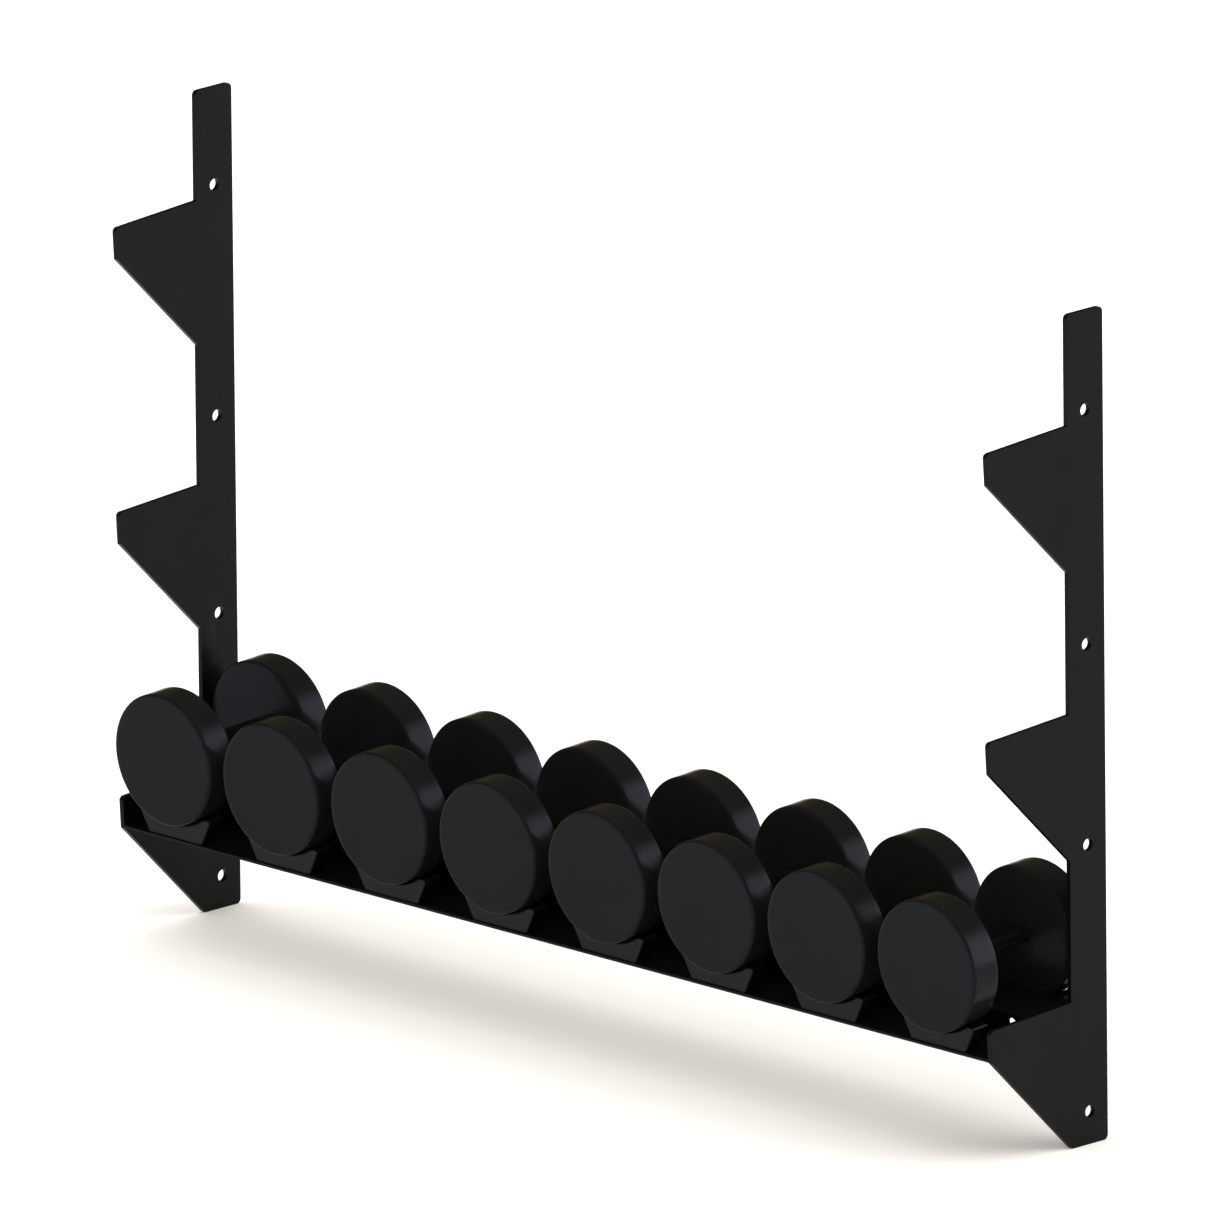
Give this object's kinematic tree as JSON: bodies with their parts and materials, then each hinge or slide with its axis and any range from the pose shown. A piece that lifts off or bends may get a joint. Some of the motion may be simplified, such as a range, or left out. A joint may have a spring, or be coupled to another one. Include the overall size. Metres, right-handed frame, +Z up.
{
  "type": "dumbbell rack",
  "caption": "Rig-mounted dumbbell rack: two flat side plates with sloping arms, a folded shelf on the lowest arms, and round-headed dumbbells in moulded saddles.",
  "frame": {"origin": "middle of the whole object's footprint, level with the lower ends of the side plates", "axes": "+X along the row of dumbbells, +Y from the arms' tips to the uprights at the back, +Z up"},
  "size_m": [1.807, 0.262, 1.247],
  "materials": {
    "plate": "satin powder coat",
    "shelf": "satin powder coat",
    "weld": "coated weld bead",
    "saddle": "moulded, fine grain",
    "screw": "black oxide",
    "insert": "turned",
    "handle": "black oxide, knurled",
    "core": "rough cast",
    "head_cover": "smooth moulded urethane"
  },
  "bodies": {
    "rack": {"left_side_plate": "plate", "right_side_plate": "plate", "shelf": "shelf", "left_shelf_welds": "weld", "right_shelf_welds": "weld", "front_saddle_1": "saddle", "rear_saddle_1": "saddle", "front_saddle_2": "saddle", "rear_saddle_2": "saddle", "front_saddle_3": "saddle", "rear_saddle_3": "saddle", "front_saddle_4": "saddle", "rear_saddle_4": "saddle", "front_saddle_5": "saddle", "rear_saddle_5": "saddle", "front_saddle_6": "saddle", "rear_saddle_6": "saddle", "front_saddle_7": "saddle", "rear_saddle_7": "saddle", "front_saddle_8": "saddle", "rear_saddle_8": "saddle", "saddle_screws": "screw", "saddle_washers": "screw", "saddle_inserts": "insert"},
    "dumbbell_1": {"dumbbell_1_handle": "handle", "dumbbell_1_cores": "core", "dumbbell_1_front_cover": "head_cover", "dumbbell_1_rear_cover": "head_cover"},
    "dumbbell_2": {"dumbbell_2_handle": "handle", "dumbbell_2_cores": "core", "dumbbell_2_front_cover": "head_cover", "dumbbell_2_rear_cover": "head_cover"},
    "dumbbell_3": {"dumbbell_3_handle": "handle", "dumbbell_3_cores": "core", "dumbbell_3_front_cover": "head_cover", "dumbbell_3_rear_cover": "head_cover"},
    "dumbbell_4": {"dumbbell_4_handle": "handle", "dumbbell_4_cores": "core", "dumbbell_4_front_cover": "head_cover", "dumbbell_4_rear_cover": "head_cover"},
    "dumbbell_5": {"dumbbell_5_handle": "handle", "dumbbell_5_cores": "core", "dumbbell_5_front_cover": "head_cover", "dumbbell_5_rear_cover": "head_cover"},
    "dumbbell_6": {"dumbbell_6_handle": "handle", "dumbbell_6_cores": "core", "dumbbell_6_front_cover": "head_cover", "dumbbell_6_rear_cover": "head_cover"},
    "dumbbell_7": {"dumbbell_7_handle": "handle", "dumbbell_7_cores": "core", "dumbbell_7_front_cover": "head_cover", "dumbbell_7_rear_cover": "head_cover"},
    "dumbbell_8": {"dumbbell_8_handle": "handle", "dumbbell_8_cores": "core", "dumbbell_8_front_cover": "head_cover", "dumbbell_8_rear_cover": "head_cover"}
  },
  "joints": [
    {"name": "dumbbell_1_lift", "type": "slide", "parent": "rack", "child": "dumbbell_1", "axis": [0, 0, 1], "range_m": [0, 0.25]},
    {"name": "dumbbell_2_lift", "type": "slide", "parent": "rack", "child": "dumbbell_2", "axis": [0, 0, 1], "range_m": [0, 0.25]},
    {"name": "dumbbell_3_lift", "type": "slide", "parent": "rack", "child": "dumbbell_3", "axis": [0, 0, 1], "range_m": [0, 0.25]},
    {"name": "dumbbell_4_lift", "type": "slide", "parent": "rack", "child": "dumbbell_4", "axis": [0, 0, 1], "range_m": [0, 0.25]},
    {"name": "dumbbell_5_lift", "type": "slide", "parent": "rack", "child": "dumbbell_5", "axis": [0, 0, 1], "range_m": [0, 0.25]},
    {"name": "dumbbell_6_lift", "type": "slide", "parent": "rack", "child": "dumbbell_6", "axis": [0, 0, 1], "range_m": [0, 0.25]},
    {"name": "dumbbell_7_lift", "type": "slide", "parent": "rack", "child": "dumbbell_7", "axis": [0, 0, 1], "range_m": [0, 0.25]},
    {"name": "dumbbell_8_lift", "type": "slide", "parent": "rack", "child": "dumbbell_8", "axis": [0, 0, 1], "range_m": [0, 0.25]}
  ]
}
